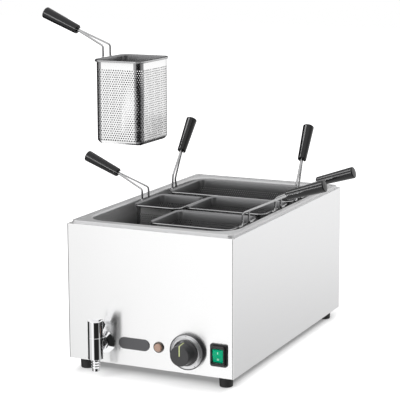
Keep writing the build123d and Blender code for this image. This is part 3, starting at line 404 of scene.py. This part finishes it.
class RoundedBox:
    def __init__(self, width, depth, corner):
        self.half = Vector((width / 2, depth / 2))
        self.corner = corner
        self.core = self.half - Vector((corner, corner))
        self.length = 4 * (self.core.x + self.core.y) + 2 * pi * corner

    def at(self, along):
        # the point at a distance along the outline, which starts in the middle of the front side
        sides = [self.core.x, 2 * self.core.y, 2 * self.core.x, 2 * self.core.y, self.core.x]
        bend = pi * self.corner / 2
        left, spot, heading = along % self.length, Vector((0, -self.half.y)), 0.0
        for number, side in enumerate(sides, 1):
            ahead = Vector((cos(heading), sin(heading)))
            if left <= side or number == len(sides):
                return spot + ahead * left
            left -= side
            centre = spot + ahead * side + Vector((-ahead.y, ahead.x)) * self.corner
            turn = heading + min(left / self.corner, pi / 2)
            spot = centre + Vector((sin(turn), -cos(turn))) * self.corner
            if left <= bend:
                return spot
            left -= bend
            heading += pi / 2

    def inset(self, point, inset):
        # the point's place on the outline drawn in by inset
        core = self.core
        near = Vector((min(max(point.x, -core.x), core.x), min(max(point.y, -core.y), core.y)))
        out = Vector((point.x, point.y)) - near
        return near + out.normalized() * (self.corner - inset)

    def reach(self, point, inset):
        # a point of the floor, moved straight out to the outline drawn in by inset
        gap = self.half - Vector((inset, inset)) - Vector((abs(point.x), abs(point.y)))
        if self.inBend(point):
            return self.inset(point, inset)
        if gap.x < gap.y:
            return Vector(((self.half.x - inset) * (1 if point.x > 0 else -1), point.y))
        return Vector((point.x, (self.half.y - inset) * (1 if point.y > 0 else -1)))

    def inBend(self, point):
        return abs(point.x) > self.core.x and abs(point.y) > self.core.y

    def holds(self, point, inset):
        past = Vector((max(abs(point.x) - self.core.x, 0), max(abs(point.y) - self.core.y, 0)))
        return past.length < self.corner - inset


def holedTiles(columns, rows, pitch):
    # six-sided tiles with a round hole, two staggered rows to a unit, laid out by two arrays
    bm = bmesh.new()
    rowStep = pitch * sin(pi / 3)
    tile = {"segments": sheetForm["tileSides"], "radius": pitch / 2 / cos(pi / 6)}
    hole = {"segments": sheetForm["holeSides"], "radius": sheetForm["hole"]}
    for row in (0, 1):
        centre = Matrix.Translation(((0.5 + 0.5 * row) * pitch, (0.5 + row) * rowStep, 0))
        outer = bmesh.ops.create_circle(bm, matrix=centre, **tile)["verts"]
        inner = bmesh.ops.create_circle(bm, matrix=centre, **hole)["verts"]
        bmesh.ops.bridge_loops(bm, edges=list(meetingEdges(outer + inner)))
    unit = meshObject("tiles", bm, "basket")
    for place, count, step in ((0, columns, pitch), (1, rows // 2, 2 * rowStep)):
        array = unit.modifiers.new("repeat", "ARRAY")
        array.use_relative_offset = False
        array.use_constant_offset = True
        array.constant_offset_displace = [step if axis == place else 0 for axis in range(3)]
        array.count = count
    applied(unit)
    bm = bmesh.new()
    bm.from_mesh(unit.data)
    bpy.data.objects.remove(unit)
    return bm


def openEdges(bm, pitch):
    # the sheet's own edges, not those of its holes
    least = pitch * sheetForm["openShare"]
    return [edge for edge in bm.edges if edge.is_boundary and edge.calc_length() > least]


def drawOut(bm, edges, move):
    made = bmesh.ops.extrude_edge_only(bm, edges=edges)["geom"]
    for vert in [item for item in made if isinstance(item, bmesh.types.BMVert)]:
        vert.co = move(vert.co)
    return [item for item in made if isinstance(item, bmesh.types.BMEdge) and item.is_boundary]


def basketWall(outline, low, top):
    form = sheetForm
    columns = round(outline.length / form["pitch"])
    pitch = outline.length / columns
    rowStep = pitch * sin(pi / 3)
    straight = top - form["plainBand"] - low - form["bottomRound"]
    arc = form["bottomRound"] * pi / 2
    rows = 2 * int((straight + arc * form["arcShare"]) / rowStep / 2)
    bm = holedTiles(columns, rows, pitch)

    def onArc(point, share):
        turn = share * pi / 2
        spot = outline.inset(point, form["bottomRound"] * (1 - cos(turn)))
        return Vector((spot.x, spot.y, low + form["bottomRound"] * (1 - sin(turn))))

    def onLip(point, flare, drop):
        spot = outline.inset(point, -flare)
        return Vector((spot.x, spot.y, top - drop))

    for vert in bm.verts:
        spot, down = outline.at(vert.co.x), vert.co.y
        if down <= straight:
            vert.co = (spot.x, spot.y, top - form["plainBand"] - down)
        else:
            vert.co = onArc(spot, (down - straight) / arc)
    bmesh.ops.remove_doubles(bm, verts=bm.verts, dist=pitch / form["weldPart"])
    middle = (top + low) / 2
    edges = openEdges(bm, pitch)
    upper = [edge for edge in edges if edge.verts[0].co.z > middle]
    lower = [edge for edge in edges if edge.verts[0].co.z < middle]
    for flare, drop in form["lipRings"]:
        upper = drawOut(bm, upper, lambda point: onLip(point, flare, drop))
    for share in form["bottomRings"]:
        lower = drawOut(bm, lower, lambda point: onArc(point, share))
    return bm, lower


def basketFloor(outline, low):
    form = sheetForm
    inset = form["bottomRound"]
    pitch = form["pitch"]
    rowStep = pitch * sin(pi / 3)
    columns = int(2 * outline.half.x / pitch) + 2
    rows = 2 * int(outline.half.y / rowStep + 1)
    bm = holedTiles(columns, rows, pitch)
    shift = Vector(((columns + 0.5) * pitch / 2, rows * rowStep / 2, 0))
    for vert in bm.verts:
        vert.co = (vert.co.x - shift.x, vert.co.y - shift.y, low)
    perTile = form["tileSides"] + form["holeSides"]
    tiles = {}
    for number, vert in enumerate(bm.verts):
        tiles.setdefault(number // perTile, []).append(vert)
    outside = []
    for verts in tiles.values():
        if not all(outline.holds(vert.co, inset + form["floorMargin"]) for vert in verts):
            outside += verts
    bmesh.ops.delete(bm, geom=outside, context="VERTS")
    bmesh.ops.remove_doubles(bm, verts=bm.verts, dist=pitch / form["weldPart"])

    def toWall(point):
        spot = outline.reach(point, inset + form["floorMargin"] / 2)
        return Vector((spot.x, spot.y, low))

    return bm, drawOut(bm, openEdges(bm, pitch), toWall)


def closedSheet(outline, low, top):
    # the wall and the floor, with a strip between their open edges and the normals turned outward
    bm, wallEdge = basketWall(outline, low, top)
    floorMesh, floorEdge = basketFloor(outline, low)
    for edge in wallEdge + floorEdge:
        edge.seam = True
    carried = bpy.data.meshes.new("floor")
    floorMesh.to_mesh(carried)
    floorMesh.free()
    bm.from_mesh(carried)
    bpy.data.meshes.remove(carried)
    bmesh.ops.bridge_loops(bm, edges=[edge for edge in bm.edges if edge.seam])
    for edge in bm.edges:
        edge.seam = False
    bmesh.ops.recalc_face_normals(bm, faces=bm.faces)
    lowest = min(bm.faces, key=lambda face: face.calc_center_median().z)
    if lowest.normal.z > 0:
        bmesh.ops.reverse_faces(bm, faces=bm.faces)
    return bm


def slotOf(face, outline, middle, low, top):
    form = sheetForm
    spot = face.calc_center_median()
    if spot.z > top - form["lipDeep"]:
        return form["lipSlot"]
    # painted shade and dark reflection: the bends and the rounded bottom edge take the dark bend finish
    atEdge = spot.z < low + form["edgeDark"] and face.normal.z > form["flatNormal"]
    return form["bendSlot"] if atEdge or outline.inBend(spot - middle) else 0


def halves(piece, middle):
    # a sheet with too many faces for one piece is split into its left and its right half
    other = piece.copy()
    other.data = piece.data.copy()
    other.name = piece.name + "_right"
    sceneRoot.collection.objects.link(other)
    for part, side in ((piece, 1), (other, -1)):
        bm = bmesh.new()
        bm.from_mesh(part.data)
        gone = [face for face in bm.faces if (face.calc_center_median().x - middle) * side > 0]
        bmesh.ops.delete(bm, geom=gone, context="FACES")
        bm.to_mesh(part.data)
        bm.free()
    return piece, other


def perforatedBasket(name, nodeName, body):
    form = sheetForm
    low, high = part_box(nodeName)
    low.z += form["standOff"]
    middle = (low + high) / 2
    reach = 2 * form["lipReach"]
    outline = RoundedBox(high.x - low.x - reach, high.y - low.y - reach, form["corner"])
    bm = closedSheet(outline, low.z, high.z)
    bmesh.ops.translate(bm, verts=bm.verts, vec=(middle.x, middle.y, 0))
    for face in bm.faces:
        face.material_index = slotOf(face, outline, middle, low.z, high.z)
    piece = meshObject(name, bm, sheetFinishes[0], form["smoothAngle"])
    for finish in sheetFinishes[1:]:
        piece.data.materials.append(materials[finish])
    wall = piece.modifiers.new("sheet", "SOLIDIFY")
    wall.thickness = form["thick"]
    wall.offset = -1
    wall.material_offset = form["insideStep"]
    wall.material_offset_rim = form["rimStep"]
    applied(piece)
    smooth(piece, form["smoothAngle"])
    triangles = sum(len(face.vertices) - 2 for face in piece.data.polygons)
    print(name, "triangles", triangles)
    for part in halves(piece, middle.x) if triangles > form["mostTriangles"] else (piece,):
        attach(part, body)
        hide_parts(nodeName)


for place in ("front_left", "front_right", "middle_left", "middle_right", "rear"):
    perforatedBasket(place + "_perforated_sheet", place + "_basket_shell", place + "_basket")


# Marks and bright lines on the controls
markForm = {
    "dialMiddle": (0.080, -0.280, 0.065), "dialAngles": (-145, -100, -50, 0, 50, 100, 145),
    "dialInner": 0.0275, "dialOuter": 0.0315, "dialWidth": 0.0009, "dialProud": 0.00012,
    "dialThick": 0.0002, "faceFlat": 0.027, "faceRim": 0.0322, "faceHigh": 0.0110, "faceDrop": 0.0028,
    "switchMiddle": (0.142, -0.280, 0.065), "swing": 7.0, "pivotDepth": 0.002,
    "rockerMiddle": 0.0085, "rockerEnd": 0.0071, "rockerHalf": 0.012, "markHigh": 0.0062,
    "barSize": (0.0012, 0.0040, 0.0002), "ringRadii": (0.0021, 0.0013), "ringSides": 20,
    "seamSides": 64,
    "seamRings": ((0.00003, -0.0006), (0.00040, -0.0003), (0.00040, 0.0003), (0.00003, 0.0006)),
}


def dialMarks():
    form = markForm
    bm = bmesh.new()
    slopeWide = form["faceRim"] - form["faceFlat"]
    slope = atan2(form["faceDrop"], slopeWide)
    middle = (form["dialInner"] + form["dialOuter"]) / 2
    depth = form["faceHigh"] - (middle - form["faceFlat"]) * form["faceDrop"] / slopeWide
    size = (form["dialWidth"], form["dialThick"], form["dialOuter"] - form["dialInner"], 1)
    base = Matrix.Translation(form["dialMiddle"])
    lean = Matrix.Translation((0, -depth - form["dialProud"], middle)) @ Matrix.Rotation(slope, 4, "X")
    for angle in form["dialAngles"]:
        place = base @ Matrix.Rotation(radians(angle), 4, "Y") @ lean @ Matrix.Diagonal(size)
        bmesh.ops.create_cube(bm, size=1, matrix=place)
    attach(meshObject("dial_marks", bm, "ink"), "cabinet")


def rockerMarks():
    # a bar above and a ring below, on the two sloping halves of the rocker
    form = markForm
    bm = bmesh.new()
    wide, high, thick = form["barSize"]
    fall = (form["rockerMiddle"] - form["rockerEnd"]) / form["rockerHalf"]
    out = form["rockerMiddle"] - form["markHigh"] * fall
    rest = Matrix.Translation(form["switchMiddle"]) @ Matrix.Translation((0, form["pivotDepth"], 0))
    rest = rest @ Matrix.Rotation(radians(form["swing"]), 4, "X")
    above, below = [
        rest @ Matrix.Translation((0, -out, side * form["markHigh"]))
        @ Matrix.Rotation(-side * atan2(fall, 1), 4, "X") for side in (1, -1)
    ]
    bmesh.ops.create_cube(bm, size=1, matrix=above @ Matrix.Diagonal((wide, thick, high, 1)))
    rings = []
    for radius in form["ringRadii"]:
        rings += bmesh.ops.create_circle(bm, segments=form["ringSides"], radius=radius)["verts"]
    made = bmesh.ops.bridge_loops(bm, edges=list(meetingEdges(rings)))
    flat = {vert for face in made["faces"] for vert in face.verts}
    stand = below @ Matrix.Translation((0, -thick / 2, 0)) @ Matrix.Rotation(radians(90), 4, "X")
    bmesh.ops.transform(bm, matrix=stand, verts=list(flat))
    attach(meshObject("rocker_marks", bm, "mark"), "power_rocker")


def tapSeam():
    # the bright bead between the tap's body and the sleeve that turns on it
    form = markForm
    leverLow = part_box("tap_lever")[0]
    bodyLow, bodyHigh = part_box("tap_body")
    radius = (bodyHigh.x - bodyLow.x) / 2
    middle = Vector(((bodyLow.x + bodyHigh.x) / 2, bodyLow.y + radius))
    level = (leverLow.z + bodyHigh.z) / 2
    bm = bmesh.new()
    rings = []
    for out, up in form["seamRings"]:
        ring = {"segments": form["seamSides"], "radius": radius + out}
        spot = Matrix.Translation((middle.x, middle.y, level + up))
        rings.append(bmesh.ops.create_circle(bm, matrix=spot, **ring)["verts"])
    for first, second in zip(rings, rings[1:] + rings[:1]):
        edges = [edge for edge in meetingEdges(first + second) if len(edge.link_faces) < 2]
        near = [edge for edge in edges if all(vert in first or vert in second for vert in edge.verts)]
        loops = [edge for edge in near if (edge.verts[0] in first) == (edge.verts[1] in first)]
        bmesh.ops.bridge_loops(bm, edges=loops)
    bmesh.ops.recalc_face_normals(bm, faces=bm.faces)
    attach(meshObject("tap_seam", bm, "chrome"), "cabinet")


dialMarks()
rockerMarks()
tapSeam()
print("marks made")


# Floor, studio and lamps
studio = {
    # the floor's near glow and near shade, with the footprint and fade, paint the cooker's shadow on the
    # floor
    "floorSize": 16.0, "floorShade": 0.86, "floorRough": 0.9, "paintedShadowGlow": 0.05, "farGlow": 0.86,
    "footprint": (0.147, 0.238), "fade": (0.045, 0.18), "paintedShadowShade": 0.56, "skyShade": 0.62,
    "glossMore": 0.08, "ringRadius": 4.5, "ringHeight": 4.0, "ringSides": 96, "cardShade": 0.02,
    "ringStops": (
        (0.0, 0.55), (0.07, 0.45), (0.12, 0.95), (0.30, 0.95), (0.34, 0.20), (0.405, 0.16), (0.425, 0.0),
        (0.505, 0.0), (0.52, 1.0), (0.70, 1.0), (0.74, 0.35), (0.82, 0.45), (0.88, 0.0), (0.922, 0.0),
        (0.945, 0.12), (1.0, 0.12),
    ),
    "lowFrom": -0.75, "lowTo": -1.45,
    "lowStops": (
        (0.0, 0.1), (0.36, 0.10), (0.41, 0.38), (0.435, 0.03), (0.86, 0.1), (0.92, 0.48), (1.0, 0.42),
    ),
    "keyPlace": (-0.75, -2.6, 1.85), "keySize": 1.5, "keyPower": 36, "keyAim": (0, 0, 0.15),
    "shines": (((-2.6, -1.16, 3.1), 1.1, 30), ((-1.6, -3.64, 0.95), 1.0, 24)), "shineAim": (0, 0, 0.4),
}


def makeFloor():
    # painted shadow: round the cooker's footprint the floor glows less and its colour is darker, standing
    # in for the cooker's shadow; the floor is seen through from below
    bm = bmesh.new()
    bmesh.ops.create_grid(bm, x_segments=1, y_segments=1, size=studio["floorSize"] / 2)
    graph = newGraph("floorWhite")
    seen = graph.node("ShaderNodeLightPath", output="Is Camera Ray")
    nears = []
    for axis in (0, 1):
        away = abs(graph.along(axis)) - studio["footprint"][axis]
        nears.append((away / studio["fade"][axis]).atLeast(0.0))
    far = ((nears[0] * nears[0] + nears[1] * nears[1]) ** 0.5).clamped()
    far = 1 - (1 - far) * (1 - far)
    glow = studio["paintedShadowGlow"] + far * (studio["farGlow"] - studio["paintedShadowGlow"])
    white = [studio["floorShade"]] * 3
    paint = graph.node("ShaderNodeBsdfPrincipled", {}, {
        "Base Color": graph.mixColour(far, shaded(white, studio["paintedShadowShade"]), white),
        "Roughness": studio["floorRough"],
        "Specular IOR Level": 0.0,
        "Emission Color": (1, 1, 1, 1),
        "Emission Strength": seen * glow,
    })
    below = graph.node("ShaderNodeNewGeometry", output="Backfacing")
    clear = graph.node("ShaderNodeBsdfTransparent")
    graph.finish(graph.mixShader(below, paint, clear))
    materials["floor"] = graph.owner
    floor = meshObject("floor", bm, "floor")
    floor.visible_glossy = False
    floor.visible_transmission = False


def makeRing():
    # a ring of dark and bright cards that only reflections see
    bm = bmesh.new()
    rim = bmesh.ops.create_circle(bm, segments=studio["ringSides"], radius=studio["ringRadius"])
    bmesh.ops.translate(bm, verts=rim["verts"], vec=(0, 0, -studio["ringHeight"]))
    raised = bmesh.ops.extrude_edge_only(bm, edges=bm.edges[:])["geom"]
    lifted = [item for item in raised if isinstance(item, bmesh.types.BMVert)]
    bmesh.ops.translate(bm, verts=lifted, vec=(0, 0, 2 * studio["ringHeight"]))
    graph = newGraph("studioCards")
    east, north, height = [graph.along(axis) for axis in range(3)]
    around = east.maths("ARCTAN2", east, 0 - north) / (2 * pi) + 0.5
    low = ((height - studio["lowFrom"]) / (studio["lowTo"] - studio["lowFrom"])).clamped()
    dark = graph.ramp(around, studio["ringStops"]) + low * graph.ramp(around, studio["lowStops"])
    clear = graph.node("ShaderNodeBsdfTransparent")
    shade = (*[studio["cardShade"]] * 3, 1)
    card = graph.node("ShaderNodeEmission", {}, {"Color": shade, "Strength": 1.0})
    graph.finish(graph.mixShader(dark.atMost(1.0), clear, card))
    materials["ring"] = graph.owner
    ring = meshObject("studioRing", bm, "ring")
    for part in ("camera", "diffuse", "shadow", "transmission", "volume_scatter"):
        setattr(ring, "visible_" + part, False)


def makeWorld():
    world = bpy.data.worlds.new("studioWorld")
    sceneRoot.world = world
    graph = Graph(world)
    unseen = 1.0
    for kind in ("Is Camera Ray", "Is Glossy Ray", "Is Transmission Ray"):
        unseen = unseen * (1 - graph.node("ShaderNodeLightPath", output=kind))
    gloss = graph.node("ShaderNodeLightPath", output="Is Glossy Ray")
    light = 1 - unseen * (1 - studio["skyShade"]) + gloss * studio["glossMore"]
    back = graph.node("ShaderNodeBackground", {}, {"Color": (1, 1, 1, 1), "Strength": light})
    graph.finish(back, "ShaderNodeOutputWorld")


def makeLamp(name, place, size, power, aim, seenBy, onto=None):
    lamp = bpy.data.lights.new(name, "AREA")
    lamp.shape = "SQUARE"
    lamp.size = size
    lamp.energy = power
    holder = bpy.data.objects.new(name, lamp)
    holder.visible_glossy = seenBy == "glossy"
    holder.visible_diffuse = seenBy == "diffuse"
    if onto:
        holder.light_linking.receiver_collection = onto
    sceneRoot.collection.objects.link(holder)
    holder.location = place
    holder.rotation_euler = (Vector(aim) - Vector(place)).to_track_quat("-Z", "Y").to_euler()


def makeLamps():
    # one lamp lights the floor and the pieces, and the others shine on the grips and the knob only
    key = studio["keyPlace"], studio["keySize"], studio["keyPower"]
    makeLamp("keyLamp", *key, studio["keyAim"], "diffuse")
    shiny = bpy.data.collections.new("shiny")
    for name in nodes:
        if "grip" in name or name == "control_knob":
            shiny.objects.link(nodes[name])
    for number, shine in enumerate(studio["shines"]):
        makeLamp("shineLamp%d" % number, *shine, studio["shineAim"], "glossy", shiny)


# Camera at the photograph's place
view = {
    "place": (1.21716, -2.64016, 0.85313), "yaw": 0.42335, "pitch": 0.18118, "clipEnd": 50,
    "focus": 1488.87, "frame": 400.0, "centre": (225.0, 185.0), "sensor": 36.0,
}


def makeCamera():
    data = bpy.data.cameras.new("camera")
    data.sensor_width = view["sensor"]
    data.lens = view["sensor"] * view["focus"] / view["frame"]
    data.shift_x = 0.5 - view["centre"][0] / view["frame"]
    data.shift_y = view["centre"][1] / view["frame"] - 0.5
    data.clip_end = view["clipEnd"]
    camera = bpy.data.objects.new("camera", data)
    camera.location = view["place"]
    camera.rotation_euler = (pi / 2 - view["pitch"], 0, view["yaw"])
    sceneRoot.collection.objects.link(camera)
    sceneRoot.camera = camera


makeFloor()
makeRing()
makeWorld()
makeLamps()
makeCamera()
sceneRoot.view_settings.view_transform = "Standard"
print("studio ready")
